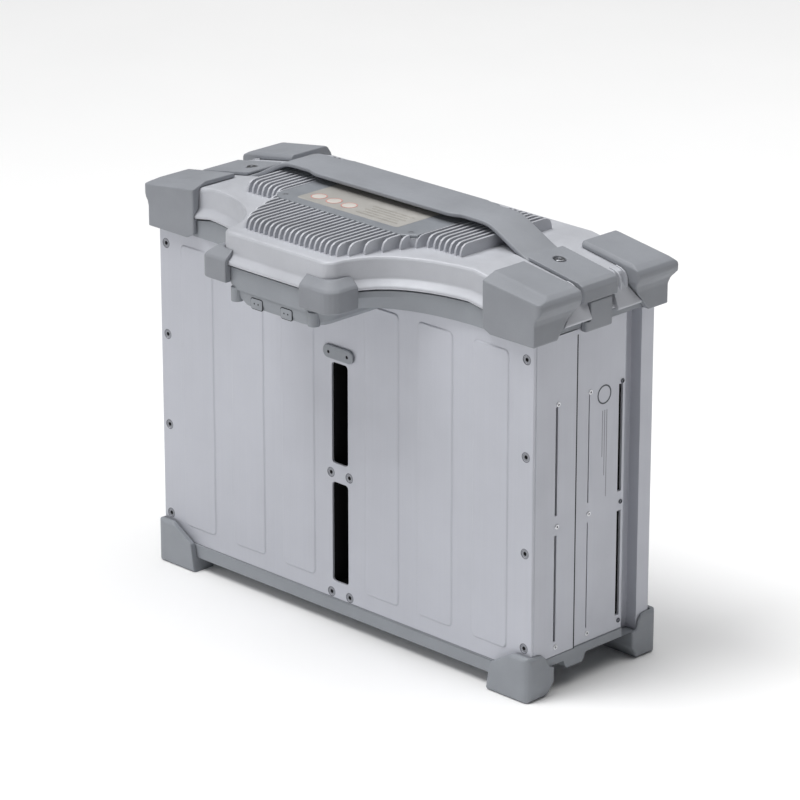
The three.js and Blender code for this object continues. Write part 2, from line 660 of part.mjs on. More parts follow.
function socketFlap() {
  const plate = prism('z', roundedRing(-35.5, 35.5, hingeY, -12.5, [0, 0, 2.6, 2.6], 2),
    housingBottom + 0.4, housingBottom + 2.4);
  const knuckle = rod('x', hingeY, hingeZ, -35.5, 35.5, 2.6, 2.6, 14);
  const web = box(-35.5, 35.5, hingeY - 1.6, hingeY + 1.6, housingBottom + 0.4, hingeZ);
  const bore = rod('x', hingeY, hingeZ, -40, 40, 1.3, 1.3, 10);
  const pull = box(-10, 10, -15.5, -13.5, housingBottom - 1.6, housingBottom + 1);
  return cut(union(plate, knuckle, web, pull), bore);
}

const flapPin = () => rod('x', hingeY, hingeZ, -39.5, 39.5, 1, 1, 10);

function statusPlate() {
  const ring = (inset) => toPoints(roundedRing(-15.2 + inset, 15.2 - inset, 202.6 + inset,
    212.8 - inset, 5.09 - inset, 5));
  const holes = [-1, 1].map((side) => rod('y', side * slotScrewX, slotScrewZ[2], -3, 1, 1.9, 1.9, 10));
  return cut(loft('y', [{ at: -0.3, points: ring(0) }, { at: -1.4, points: ring(0) },
    { at: -1.9, points: ring(0.5) }]), holes);
}

// ---- inside: cells, air ducts, electronics ---------------------------------------------------

function cell(y) {
  const ring = (inset) => toPoints(roundedRing(cellInnerX + inset, cellOuterX - inset,
    cellBottom + inset, cellTop - inset, 4, 2));
  const pouch = loft('y', [{ at: y + 0.01, points: ring(1.4) }, { at: y + 1.4, points: ring(0) },
    { at: y + cellThickness - 1.4, points: ring(0) }, { at: y + cellThickness - 0.01, points: ring(1.4) }]);
  const middle = y + cellThickness / 2;
  const tabs = [[38, 66], [118, 146]].map(([x0, x1]) =>
    box(x0, x1, middle - 0.4, middle + 0.4, cellTop - 2, cellTop + 4.5));
  return union(pouch, tabs);
}

const cellLayers = [7.6, 26.2, 40.6, 58.8, 72.4, 91.8, 105.4];
const ductBottom = 34;
const ductTop = 213;

function airDuct({ y, outer }) {
  const wall = 0.6;
  const half = outer / 2;
  const shell = box(9.8, 182.6, y - half, y + half, ductBottom, ductTop);
  return cut(shell, box(0, 190, y - half + wall, y + half - wall, ductBottom + wall, ductTop - wall));
}

function plenum() {
  const body = cut(box(-9.5, 9.5, sheet + gap, 92, 30, 216), box(-8.3, 8.3, 0, 90.8, 31.2, 214.8));
  const windows = channels.map(({ y, outer }) => {
    const half = outer / 2 - 0.6;
    return box(-12, 12, y - half, y + half, ductBottom + 0.6, ductTop - 0.6);
  });
  return cut(body, windows);
}

function controlBoard() {
  const board = prism('z', roundedRing(-112, 112, 6, 114, 3, 2), 279, 280.6);
  const powerStage = box(-60, 60, 22, 88, 280.4, 289);
  const chokes = [-88, -76].map((x) => rod('z', x, 40, 280.4, 290, 5, 5, 12));
  const connectors = [box(70, 100, 20, 30, 280.4, 287), box(70, 100, 70, 84, 280.4, 286),
    box(-104, -90, 66, 96, 280.4, 285)];
  return union(board, powerStage, chokes, connectors);
}

const thermalPad = () => box(-58, 58, 24, 86, 289 + gap, coverCeiling - gap);

// From above a terminal, back over the deck and down to the cells.
function busbar() {
  const outline = [[-39, 272.3], [54.9, 272.3], [54.9, 259], [58.9, 259], [58.9, 274.6], [-39, 274.6]];
  return prism('x', outline, 8, 20);
}

function powerButton() {
  const cap = rod('y', buttonX, buttonZ, 116.5, 121.9, 4.5, 4.5, 16);
  const flange = rod('y', buttonX, buttonZ, 116, 117.2, 5.8, 5.8, 16);
  return union(cap, flange);
}

const statusLens = () => prism('y', roundedRing(80.4, 89.6, buttonZ - 1.2, buttonZ + 1.2, 1, 2), 116.5, 120.9);

function labelPlate() {
  return loft('z', [{ at: finTop - 2.2, points: toPoints(plateRing(-0.4)) },
    { at: finTop - 0.5, points: toPoints(plateRing(-0.4)) },
    { at: finTop, points: toPoints(plateRing(-0.9)) }]);
}

// ---- assembly --------------------------------------------------------------------------------

addPart('front_panel', frontPanel(), panelPaint);
addPart('rear_shell', rearShell(), panelPaint);
addPair('side_panel', sidePanel(), panelPaint);
addPart('bottom_tray', bottomTray(), trayPlastic);
const foot = frontFoot();
addPair('front_foot', foot, trayPlastic);
addPair('rear_foot', flipped(foot), trayPlastic);
addPart('top_frame', topFrame(), trayPlastic);
addPart('cover_seal', coverSeal(), sealRubber);
addPart('heatsink_cover', heatsinkCover(), coverPaint);
addPart('label_plate', labelPlate(), coverPaint);
addPair('front_guard', frontGuard(), guardPlastic);
addPair('rear_guard', rearGuard(), guardPlastic);
addPart('bumper_right', seated(bumper(30, 62, 11, postRight)), guardPlastic);
addPart('bumper_left', seated(mirrored(bumper(43, 67, 5, postLeft))), guardPlastic);
addPart('handle_strap', strapBody(), strapRubber);
addPair('strap_anchor', anchorBlock(), guardPlastic);
addPair('anchor_screw', anchorScrew(), steel);
addPair('side_tab', sideTab(), guardPlastic);
addPart('status_plate', statusPlate(), trayPlastic);
addPart('power_socket', powerSocket(), blackPlastic);
addPart('positive_terminal', terminal(14), brass);
addPart('negative_terminal', terminal(-14), brass);
addPart('socket_flap', socketFlap(), trayPlastic);
addPart('flap_pin', flapPin(), steel);
addPart('power_button', powerButton(), blackPlastic);
addPart('status_lens', statusLens(), lensPlastic);
cellLayers.forEach((y, i) => addPair(`cell_${i + 1}`, cell(y), cellFilm));
channels.forEach((channel) => addPair(`${channel.name}_duct`, airDuct(channel), ductAluminium));
addPart('plenum', plenum(), ductAluminium);
addPart('control_board', controlBoard(), boardGreen);
addPart('thermal_pad', thermalPad(), padBlue);
addPair('busbar', busbar(), copper);

// The origin is under the middle of the whole pack, between the bumpers and the rear guards.
const frontmost = overhangY - lip - 3;
const rearmost = guardRearY;
caseFrame.position.y = -(frontmost + rearmost) / 2;

export default pack;
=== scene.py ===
"""A rugged, air-cooled battery power pack: painted sheet-metal case, finned cast cover, carry strap.

Lengths are millimetres in the case's own coordinates, as in the CAD source: x = 0 is the middle of
the pack, y = 0 the front panel's outer face, z = 0 the ground. at() turns them into frame metres.
"""

import json
import math

import bmesh
import bpy
from mathutils import Matrix, Vector


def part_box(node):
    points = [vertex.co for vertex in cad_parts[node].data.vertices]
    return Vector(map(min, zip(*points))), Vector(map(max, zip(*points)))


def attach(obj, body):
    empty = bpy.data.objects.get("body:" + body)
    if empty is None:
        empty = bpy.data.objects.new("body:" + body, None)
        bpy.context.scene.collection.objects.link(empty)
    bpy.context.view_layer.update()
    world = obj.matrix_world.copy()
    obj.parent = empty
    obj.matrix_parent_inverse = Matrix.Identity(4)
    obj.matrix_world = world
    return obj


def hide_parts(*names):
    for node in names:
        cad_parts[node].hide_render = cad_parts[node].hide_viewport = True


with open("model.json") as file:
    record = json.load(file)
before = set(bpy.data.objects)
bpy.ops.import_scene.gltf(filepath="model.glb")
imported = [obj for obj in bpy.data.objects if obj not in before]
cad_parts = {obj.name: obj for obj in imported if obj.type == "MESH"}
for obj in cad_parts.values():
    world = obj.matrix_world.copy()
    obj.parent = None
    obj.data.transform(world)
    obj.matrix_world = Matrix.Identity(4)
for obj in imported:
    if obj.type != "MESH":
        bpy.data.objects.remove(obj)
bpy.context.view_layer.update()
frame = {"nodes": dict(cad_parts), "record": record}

MM = 0.001
CASE_DEPTH = 121.5
CASE_MIDDLE = CASE_DEPTH / 2
REAR_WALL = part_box("rear_shell")[1].y        # metres, the case's rear face
SIDE_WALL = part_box("side_panel_right")[1].x / MM
PANEL_RECESS = 1.0                           # the rear part of a side panel lies this far in
RECESSED_WALL = SIDE_WALL - PANEL_RECESS
PLATE_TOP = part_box("label_plate")[1].z / MM
FRONT = (0, -1, 0)
BACK = (0, 1, 0)
UP = (0, 0, 1)
BOTH_SIDES = ((1, "right"), (-1, "left"))


def at(x, y, z):
    """A point of the case, in millimetres, as a point of the frame, in metres."""
    return Vector((x * MM, REAR_WALL + (y - CASE_DEPTH) * MM, z * MM))


# ---- camera ------------------------------------------------------------------------------------

CAMERA_PLACE = (1.97835, -1.96395, 1.1868)
CAMERA_TILT = 69.86              # degrees up from looking straight down
CAMERA_TURN = 44.82              # degrees round the upright axis
CAMERA_LENS = 188.6              # focal length on a sensor of the width below
SENSOR_WIDTH = 36


def make_camera():
    data = bpy.data.cameras.new("camera")
    data.lens = CAMERA_LENS
    data.sensor_width = SENSOR_WIDTH
    data.clip_start = 0.05
    camera = bpy.data.objects.new("camera", data)
    camera.location = CAMERA_PLACE
    camera.rotation_euler = (math.radians(CAMERA_TILT), 0, math.radians(CAMERA_TURN))
    bpy.context.scene.collection.objects.link(camera)
    bpy.context.scene.camera = camera


make_camera()


# ---- materials ---------------------------------------------------------------------------------

def linear(red, green, blue):
    """A colour given as 0-255 sRGB values, as the linear colour that nodes use."""
    def one(value):
        share = value / 255
        return share / 12.92 if share <= 0.04045 else ((share + 0.055) / 1.055) ** 2.4
    return (one(red), one(green), one(blue), 1)


def scaled(colour, factor):
    return (*[min(1, channel * factor) for channel in colour[:3]], 1)


class Finish:
    """A material's node tree, with short calls for the nodes that the finishes share."""

    def __init__(self, name):
        self.material = bpy.data.materials.new(name)
        self.material.use_nodes = True
        self.tree = self.material.node_tree
        self.shader = self.tree.nodes["Principled BSDF"]
        self.place = self.tree.nodes.new("ShaderNodeTexCoord").outputs["Object"]

    def link(self, source, target):
        self.tree.links.new(source, target)

    def stretched(self, scale):
        node = self.tree.nodes.new("ShaderNodeMapping")
        node.inputs["Scale"].default_value = scale
        self.link(self.place, node.inputs["Vector"])
        return node.outputs["Vector"]

    def noise(self, scale, detail=3, roughness=0.55, vector=None):
        node = self.tree.nodes.new("ShaderNodeTexNoise")
        node.inputs["Scale"].default_value = scale
        node.inputs["Detail"].default_value = detail
        node.inputs["Roughness"].default_value = roughness
        self.link(vector or self.place, node.inputs["Vector"])
        return node.outputs["Fac"]

    def cells(self, scale, vector=None):
        node = self.tree.nodes.new("ShaderNodeTexVoronoi")
        node.inputs["Scale"].default_value = scale
        self.link(vector or self.place, node.inputs["Vector"])
        return node.outputs["Distance"]

    def remap(self, value, low, high, to_low, to_high):
        node = self.tree.nodes.new("ShaderNodeMapRange")
        limits = {"From Min": low, "From Max": high, "To Min": to_low, "To Max": to_high}
        for key, number in limits.items():
            node.inputs[key].default_value = number
        self.link(value, node.inputs["Value"])
        return node.outputs["Result"]

    def ramp(self, value, stops):
        node = self.tree.nodes.new("ShaderNodeValToRGB")
        first, last = node.color_ramp.elements
        first.position, first.color = stops[0]
        last.position, last.color = stops[-1]
        for position, colour in stops[1:-1]:
            node.color_ramp.elements.new(position).color = colour
        self.link(value, node.inputs["Fac"])
        return node.outputs["Color"]

    def mix(self, share, first, second):
        """Two colours mixed; share and the colours are sockets or plain values."""
        node = self.tree.nodes.new("ShaderNodeMix")
        node.data_type = "RGBA"
        inputs = node.inputs
        for socket, value in ((inputs[0], share), (inputs[6], first), (inputs[7], second)):
            if isinstance(value, (int, float, tuple)):
                socket.default_value = value
            else:
                self.link(value, socket)
        return node.outputs[2]

    def math(self, operation, first, second):
        node = self.tree.nodes.new("ShaderNodeMath")
        node.operation = operation
        for socket, value in zip(node.inputs, (first, second)):
            if isinstance(value, (int, float)):
                socket.default_value = value
            else:
                self.link(value, socket)
        return node.outputs[0]

    def edges(self):
        """0 on flat stretches, 1 along outer edges: the mask for a painted highlight there."""
        geometry = self.tree.nodes.new("ShaderNodeNewGeometry")
        return self.remap(geometry.outputs["Pointiness"], 0.52, 0.62, 0, 1)

    def bump(self, height, distance, strength):
        node = self.tree.nodes.new("ShaderNodeBump")
        node.inputs["Distance"].default_value = distance
        node.inputs["Strength"].default_value = strength
        self.link(height, node.inputs["Height"])
        self.link(node.outputs["Normal"], self.shader.inputs["Normal"])

    def colour(self, socket):
        self.link(socket, self.shader.inputs["Base Color"])

    def roughness(self, value, low, high):
        self.link(self.remap(value, 0.3, 0.7, low, high), self.shader.inputs["Roughness"])

    def constants(self, **values):
        for key, value in values.items():
            self.shader.inputs[key.replace("_", " ")].default_value = value


def painted_sheet(name, colour):
    """Satin powder coat on brushed sheet: faint upright streaks, orange peel and dust-fine specks."""
    f = Finish(name)
    streaks = f.noise(1, 4, 0.6, f.stretched((700, 700, 9)))
    clouds = f.noise(9, 2)
    base = f.ramp(clouds, [(0.35, scaled(colour, 0.965)), (0.65, scaled(colour, 1.03))])
    streaked = f.mix(f.remap(streaks, 0.35, 0.65, 0, 0.16), base, scaled(colour, 1.12))
    specks = f.remap(f.noise(2600, 2), 0.62, 0.72, 0, 0.25)
    speckled = f.mix(specks, streaked, scaled(colour, 0.8))
    # Edges are mixed towards a paler copy of the paint: a painted highlight along them.
    f.colour(f.mix(f.math("MULTIPLY", f.edges(), 0.25), speckled, scaled(colour, 1.25)))
    f.roughness(f.noise(60, 3), 0.4, 0.52)
    peel = f.math("ADD", f.noise(900, 2), f.math("MULTIPLY", streaks, 0.35))
    f.bump(peel, 0.00006, 0.35)
    f.constants(Metallic=0.25, Coat_Weight=0.12, Coat_Roughness=0.35)
    return f.material


def painted_casting(name, colour):
    """Powder coat over a die casting: a slightly sandy skin with soft mottling."""
    f = Finish(name)
    clouds = f.noise(22, 3)
    base = f.ramp(clouds, [(0.35, scaled(colour, 0.95)), (0.65, scaled(colour, 1.04))])
    sand = f.noise(1500, 3, 0.65)
    sandy = f.mix(f.remap(sand, 0.5, 0.75, 0, 0.35), base, scaled(colour, 0.84))
    # Edges are mixed towards a paler copy of the paint: a painted highlight along them.
    f.colour(f.mix(f.math("MULTIPLY", f.edges(), 0.35), sandy, scaled(colour, 1.22)))
    f.roughness(f.noise(140, 3), 0.42, 0.58)
    f.bump(sand, 0.00012, 0.4)
    f.constants(Metallic=0.2, Coat_Weight=0.08, Coat_Roughness=0.4)
    return f.material


def moulded(name, colour, low, high, grain=1700, depth=0.00012, edge_highlight=0.3, sheen=0.0):
    """Moulded plastic or rubber with a spark-eroded texture and a painted highlight along its edges."""
    f = Finish(name)
    clouds = f.noise(28, 3)
    base = f.ramp(clouds, [(0.3, scaled(colour, 0.93)), (0.7, scaled(colour, 1.06))])
    texture = f.math("ADD", f.math("MULTIPLY", f.cells(grain), 0.7), f.noise(grain * 1.6, 3, 0.7))
    grainy = f.mix(f.remap(texture, 0.6, 1.15, 0, 0.22), base, scaled(colour, 0.82))
    f.colour(f.mix(f.math("MULTIPLY", f.edges(), edge_highlight), grainy, scaled(colour, 1.35)))
    f.roughness(f.noise(90, 3), low, high)
    f.bump(texture, depth, 0.35)
    f.constants(Sheen_Weight=sheen, Sheen_Roughness=0.45)
    return f.material


def machined(name, colour, roughness=0.25, scale=(1500, 1500, 90), metallic=1.0):
    """Bare metal with fine tool marks."""
    f = Finish(name)
    marks = f.noise(1, 3, 0.6, f.stretched(scale))
    f.colour(f.ramp(marks, [(0.3, scaled(colour, 0.78)), (0.7, scaled(colour, 1.1))]))
    f.roughness(marks, roughness, roughness + 0.16)
    f.bump(marks, 0.00003, 0.3)
    f.constants(Metallic=metallic)
    return f.material


def shade_dark_sheet(name):
    """Near-black sheet for the ducts, a painted shade, so that the inside of the air slots stays dark."""
    f = Finish(name)
    rolling = f.noise(1, 3, 0.6, f.stretched((40, 900, 900)))
    f.colour(f.ramp(rolling, [(0.3, (0.0035, 0.0035, 0.004, 1)), (0.7, (0.009, 0.009, 0.01, 1))]))
    f.roughness(rolling, 0.5, 0.7)
    f.bump(rolling, 0.00003, 0.3)
    f.constants(Metallic=0.3)
    return f.material


def laminate_film(name, colour):
    """Aluminium laminate of the cell pouches, lightly wrinkled."""
    f = Finish(name)
    wrinkles = f.noise(55, 4, 0.6)
    f.colour(f.ramp(wrinkles, [(0.3, scaled(colour, 0.85)), (0.7, scaled(colour, 1.1))]))
    f.roughness(f.noise(200, 3), 0.25, 0.4)
    f.bump(wrinkles, 0.0004, 0.5)
    f.constants(Metallic=0.75)
    return f.material


def lacquered_board(name):
    """Green solder lacquer with copper tracks showing through as paler lines."""
    f = Finish(name)
    tracks = f.remap(f.cells(160, f.stretched((1, 0.45, 1))), 0.02, 0.1, 1, 0)
    clouds = f.noise(60, 3)
    lacquer = f.ramp(clouds, [(0.35, (0.008, 0.05, 0.022, 1)), (0.65, (0.014, 0.085, 0.04, 1))])
    f.colour(f.mix(f.math("MULTIPLY", tracks, 0.6), lacquer, (0.05, 0.2, 0.07, 1)))
    f.roughness(clouds, 0.22, 0.34)
    f.bump(tracks, 0.00005, 0.5)
    return f.material


def clear_diffuser(name):
    f = Finish(name)
    haze = f.noise(500, 3)
    f.colour(f.ramp(haze, [(0.3, (0.72, 0.76, 0.8, 1)), (0.7, (0.84, 0.87, 0.9, 1))]))
    f.roughness(haze, 0.12, 0.22)
    f.bump(haze, 0.00003, 0.2)
    f.constants(Transmission_Weight=0.35, IOR=1.49)
    return f.material


def printed(name, colour, fade=0.12):
    """Matt print on foil: flat ink with a fine screen and slight fading."""
    f = Finish(name)
    clouds = f.noise(120, 3)
    base = f.ramp(clouds, [(0.3, scaled(colour, 1 - fade)), (0.7, scaled(colour, 1 + fade))])
    screen = f.cells(3200)
    f.colour(f.mix(f.remap(screen, 0.1, 0.5, 0, 0.12), base, scaled(colour, 0.8)))
    f.roughness(clouds, 0.4, 0.55)
    f.bump(screen, 0.00002, 0.2)
    return f.material


FINISHES = {
    "panel_paint": painted_sheet("panel_paint", linear(186, 188, 196)),
    "cover_paint": painted_casting("cover_paint", linear(188, 190, 196)),
    "plate_paint": painted_casting("plate_paint", linear(140, 144, 150)),
    "tray_plastic": moulded("tray_plastic", linear(144, 148, 154), 0.5, 0.62),
    "guard_rubber": moulded("guard_rubber", linear(139, 142, 148), 0.52, 0.66, sheen=0.05),
    "strap_rubber": moulded("strap_rubber", linear(143, 146, 152), 0.5, 0.64, sheen=0.05),
    "screw_steel": machined("screw_steel", linear(178, 180, 185)),
    "socket_plastic": moulded("socket_plastic", linear(34, 35, 38), 0.42, 0.55, edge_highlight=0.15),
    "contact_brass": machined("contact_brass", linear(206, 168, 86)),
    "busbar_copper": machined("busbar_copper", linear(196, 124, 80), 0.3),
    "cell_film": laminate_film("cell_film", linear(158, 166, 176)),
    "duct_aluminium": shade_dark_sheet("duct_aluminium"),
    "circuit_board": lacquered_board("circuit_board"),
    "thermal_pad": moulded("thermal_pad", linear(125, 147, 168), 0.8, 0.92, depth=0.0002, edge_highlight=0),
    "seal_rubber": moulded("seal_rubber", linear(30, 31, 34), 0.7, 0.85, edge_highlight=0.1),
    "lens_plastic": clear_diffuser("lens_plastic"),
}
RING_STEEL = machined("ring_steel", linear(232, 233, 236), 0.3)
DARK_STEEL = machined("dark_steel", linear(92, 95, 102), 0.35, metallic=0.6)
# RECESS_DARK: a near-black, painted shade in screw sockets, round the hinge clips, inside slots and along
# the side seams; also the rivets' colour.
RECESS_DARK = moulded("recess_dark", linear(28, 29, 33), 0.6, 0.75, edge_highlight=0)
LABEL_FOIL = printed("label_foil", linear(166, 164, 160), 0.05)
LABEL_RED = printed("label_red", linear(196, 138, 130))
LABEL_PALE = printed("label_pale", linear(200, 196, 190), 0.04)
LABEL_GREY = printed("label_grey", linear(156, 153, 147))
HEAD_GREY = machined("head_grey", linear(148, 150, 156), 0.35, metallic=0.6)
# RIM_GREY: the washers' darker grey, which also stands in for shade round the screw heads.
RIM_GREY = moulded("rim_grey", linear(120, 122, 129), 0.45, 0.6, edge_highlight=0.2)
BAR_GREY = printed("bar_grey", linear(140, 140, 148), 0.04)
MARK_DARK = printed("mark_dark", linear(70, 73, 80))
SLOT_OF = {part["node"]: part["material_slot"] for part in frame["record"]["subparts"]}


# ---- mesh helpers ------------------------------------------------------------------------------

def add_object(name, mesh, material):
    piece = bpy.data.objects.new(name, mesh)
    mesh.materials.append(material)
    bpy.context.scene.collection.objects.link(piece)
    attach(piece, "pack")
    return piece


def smooth(mesh, angle):
    mesh.shade_smooth()
    mesh.set_sharp_from_angle(angle=math.radians(angle))


def closed_mesh(name, rings, faces, turn, angle):
    """A mesh over the rings' points, with outward faces, turned into place and smoothed."""
    verts = [tuple(point) for ring in rings for point in ring]
    mesh = bpy.data.meshes.new(name)
    mesh.from_pydata(verts, [], faces)
    bm = bmesh.new()
    bm.from_mesh(mesh)
    bmesh.ops.recalc_face_normals(bm, faces=bm.faces)
    bm.to_mesh(mesh)
    bm.free()
    if turn:
        mesh.transform(turn)
    smooth(mesh, angle)
    return mesh


def band(first, second, count):
    """The faces between two rings, given the numbers of their first points."""
    faces = []
    for i in range(count):
        after = (i + 1) % count
        faces.append((first + i, first + after, second + after, second + i))
    return faces


def from_rings(name, rings, turn=None, angle=40):
    """A closed mesh through rings with the same number of points, capped at both ends."""
    count = len(rings[0])
    last = (len(rings) - 1) * count
    faces = [tuple(range(count))[::-1], tuple(range(last, last + count))]
    for start in range(0, last, count):
        faces += band(start, start + count, count)
    return closed_mesh(name, rings, faces, turn, angle)


def washer(name, rings, place, direction, material):
    """A closed ring through circles of points: round the outside and back through the hole."""
    count = len(rings[0])
    total = len(rings) * count
    faces = []
    for start in range(0, total, count):
        faces += band(start, (start + count) % total, count)
    add_object(name, closed_mesh(name, rings, faces, facing(direction, place), 60), material)


def circle_ring(radius, height, hexagon=0.0, count=36):
    """Points in metres, from millimetres, on a circle that turns into a hexagon at hexagon 1."""
    ring = []
    for i in range(count):
        angle = 2 * math.pi * i / count
        across = (angle + math.pi / 6) % (math.pi / 3) - math.pi / 6
        flat = math.cos(math.pi / 6) / math.cos(across)
        reach = radius * (1 + hexagon * (flat - 1)) * MM
        ring.append(Vector((reach * math.cos(angle), reach * math.sin(angle), height * MM)))
    return ring


def facing(direction, place):
    """A matrix that stands +Z along a direction, at a place in the frame."""
    turn = Vector(direction).to_track_quat("Z", "Y").to_matrix().to_4x4()
    return Matrix.Translation(place) @ turn


def rounded_outline(width, height, radius, steps=6):
    """Corner points of a rounded rectangle round (0, 0), in millimetres."""
    points = []
    for sx, sy, start in ((1, -1, -90), (1, 1, 0), (-1, 1, 90), (-1, -1, 180)):
        for i in range(steps + 1):
            angle = math.radians(start + 90 * i / steps)
            points.append((sx * (width / 2 - radius) + radius * math.cos(angle),
                           sy * (height / 2 - radius) + radius * math.sin(angle)))
    return points


def tile(name, size, radius, thickness, place, direction, material, edge=0.25):
    """A thin rounded plate with a softened upper edge, sunk a little into the face it lies on."""
    width, height = size
    rings = []
    for inset, level in ((0, -0.2), (0, thickness - edge), (edge * 0.3, thickness - edge * 0.3),
                         (edge, thickness)):
        outline = rounded_outline(width - 2 * inset, height - 2 * inset, max(radius - inset, 0.05))
        rings.append([Vector((u * MM, v * MM, level * MM)) for u, v in outline])
    add_object(name, from_rings(name, rings, facing(direction, place), 35), material)


# ---- CAD nodes: finishes and rounded edges -----------------------------------------------------

WELD_REACH = 0.00002             # metres; the nodes come in with their vertices split
BEVEL_ANGLE = 24                 # edges that turn by more than these degrees are rounded


def weld(piece):
    piece.modifiers.new("weld", "WELD").merge_threshold = WELD_REACH


def soften(node, width):
    """Rounds a CAD node's edges; width is in millimetres."""
    piece = frame["nodes"][node]
    piece.data.shade_smooth()
    weld(piece)
    bevel = piece.modifiers.new("bevel", "BEVEL")
    bevel.width = width * MM
    bevel.segments = 2
    bevel.limit_method = "ANGLE"
    bevel.angle_limit = math.radians(BEVEL_ANGLE)
    bevel.use_clamp_overlap = False
    bevel.miter_outer = "MITER_ARC"
    even = piece.modifiers.new("even", "WEIGHTED_NORMAL")
    even.keep_sharp = False
    even.weight = 60


def melt(node, voxel, rounds):
    """Turns a CAD node into an evenly rounded moulding; voxel is in millimetres."""
    piece = frame["nodes"][node]
    weld(piece)
    remesh = piece.modifiers.new("remesh", "REMESH")
    remesh.mode = "VOXEL"
    remesh.voxel_size = voxel * MM
    remesh.use_smooth_shade = True
    ease = piece.modifiers.new("ease", "SMOOTH")
    ease.factor = 0.5
    ease.iterations = rounds


def finish_node(node):
    piece = frame["nodes"][node]
    piece.data.materials.clear()
    piece.data.materials.append(FINISHES[SLOT_OF[node]])


# Bevel widths in millimetres, by the start of a node's name. Thin or finely curved sheets take less.
EDGE_WIDTHS = {
    "front_panel": 0.3, "rear_shell": 0.35, "side_panel": 0.12, "bottom_tray": 0.8,
    "top_frame": 0.15, "cover_seal": 0.2, "heatsink_cover": 0.35, "label_plate": 0.4,
    "status_plate": 0.3, "power_socket": 0.15, "socket_flap": 0.3, "side_tab": 0.5,
    "anchor_screw": 0.3, "cell": 0.3, "control_board": 0.3, "thermal_pad": 0.5, "busbar": 0.3,
    "power_button": 0.5, "status_lens": 0.3,
}
OTHER_EDGE = 0.15
# Voxel size in millimetres and rounds of smoothing for the thick rubber mouldings.
MELTED = {
    "front_guard": (0.6, 7), "rear_guard": (0.6, 7), "front_foot": (0.6, 6), "rear_foot": (0.6, 6),
    "bumper": (0.5, 9), "strap_anchor": (0.5, 5),
}


def named_value(table, node, other):
    """The value whose key starts the node's name."""
    return next((value for key, value in table.items() if node.startswith(key)), other)


for node_name in frame["nodes"]:
    finish_node(node_name)
    melting = named_value(MELTED, node_name, None)
    if melting:
        melt(node_name, *melting)
    else:
        soften(node_name, named_value(EDGE_WIDTHS, node_name, OTHER_EDGE))


# ---- carry strap -------------------------------------------------------------------------------

STRAP_THICKNESS = 3.2
STRAP_EDGE = 1.1
STRAP_STEPS = 8                  # points on each span of the path
# x and z of the strap's upper face, from the middle to its right end
STRAP_PATH = [(0, 317), (40, 317), (78, 317), (92, 316.9), (100, 316.1), (107.5, 313.4), (118, 308),
              (129, 302.2), (135, 299.5), (141, 297.6), (150, 296.0), (160.5, 294.4)]
STRAP_HALF = 16.5                # half widths, at the ends and at the grip
GRIP_HALF = 20.0
GRIP_FADE = (66, 76)             # where the wide grip narrows, from the middle


def smoothstep(value, low, high):
    share = min(1, max(0, (value - low) / (high - low)))
    return share * share * (3 - 2 * share)


def path_point(points, where):
    """A point on a Catmull-Rom curve; where runs from 0 to the number of spans."""
    i = min(int(where), len(points) - 2)
    t = where - i
    p = [Vector(points[min(max(k, 0), len(points) - 1)]) for k in (i - 1, i, i + 1, i + 2)]
    return 0.5 * (2 * p[1] + (p[2] - p[0]) * t + (2 * p[0] - 5 * p[1] + 4 * p[2] - p[3]) * t * t
                  + (3 * p[1] - p[0] - 3 * p[2] + p[3]) * t ** 3)


def make_strap():
    spans = len(STRAP_PATH) - 1
    right = [path_point(STRAP_PATH, i / STRAP_STEPS) for i in range(spans * STRAP_STEPS + 1)]
    centre = [Vector((-p.x, p.y)) for p in right[:0:-1]] + right
    rings = []
    for i, point in enumerate(centre):
        ahead = centre[min(i + 1, len(centre) - 1)] - centre[max(i - 1, 0)]
        normal = Vector((-ahead.y, ahead.x)).normalized()
        half = GRIP_HALF + (STRAP_HALF - GRIP_HALF) * smoothstep(abs(point.x), *GRIP_FADE)
        ring = []
        for across, height in rounded_outline(2 * half, STRAP_THICKNESS, STRAP_EDGE, 5):
            drop = height - STRAP_THICKNESS / 2
            ring.append(at(point.x + normal.x * drop, CASE_MIDDLE + across, point.y + normal.y * drop))
        rings.append(ring)
    mesh = from_rings("carry_strap", rings, angle=60)
    strap = add_object("carry_strap", mesh, FINISHES["strap_rubber"])
    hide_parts("handle_strap")


make_strap()


# ---- screws ------------------------------------------------------------------------------------

SCREW_RADIUS = 3.0
PLATE_SCREW_RADIUS = 2.4
RIM_RADIUS = 3.45                # middle of the washer's crown
SCREW_SHIFT = 0.35               # along y: sunk into the front panel, proud of the rear wall
EDGE_SCREW_X = 179.2
EDGE_SCREW_Z = (38, 108, 178.2, 248)
SLOT_SCREW_X = 9.2
SLOT_SCREW_Z = (25, 116.5, 207.5)            # the last pair holds the status plate
STATUS_PLATE_FACE = -1.9
SIDE_SCREW_Y = (24.3, 57.5, 90.1)            # one column of screws beside each column of slots
SIDE_SCREW_Z = (33.7, 122.9, 211.7)


def paint_socket_shade(mesh, place, direction, reach):
    """The faces inside a screw's socket take the mesh's second material, once it has both: the near-black
    that paints the shade inside the socket.
    """
    axis = Vector(direction).normalized()
    for polygon in mesh.polygons:
        off = polygon.center - place
        inside = off.cross(axis).length < reach * MM and off.dot(axis) > -1.4 * MM
        polygon.material_index = 1 if inside else 0


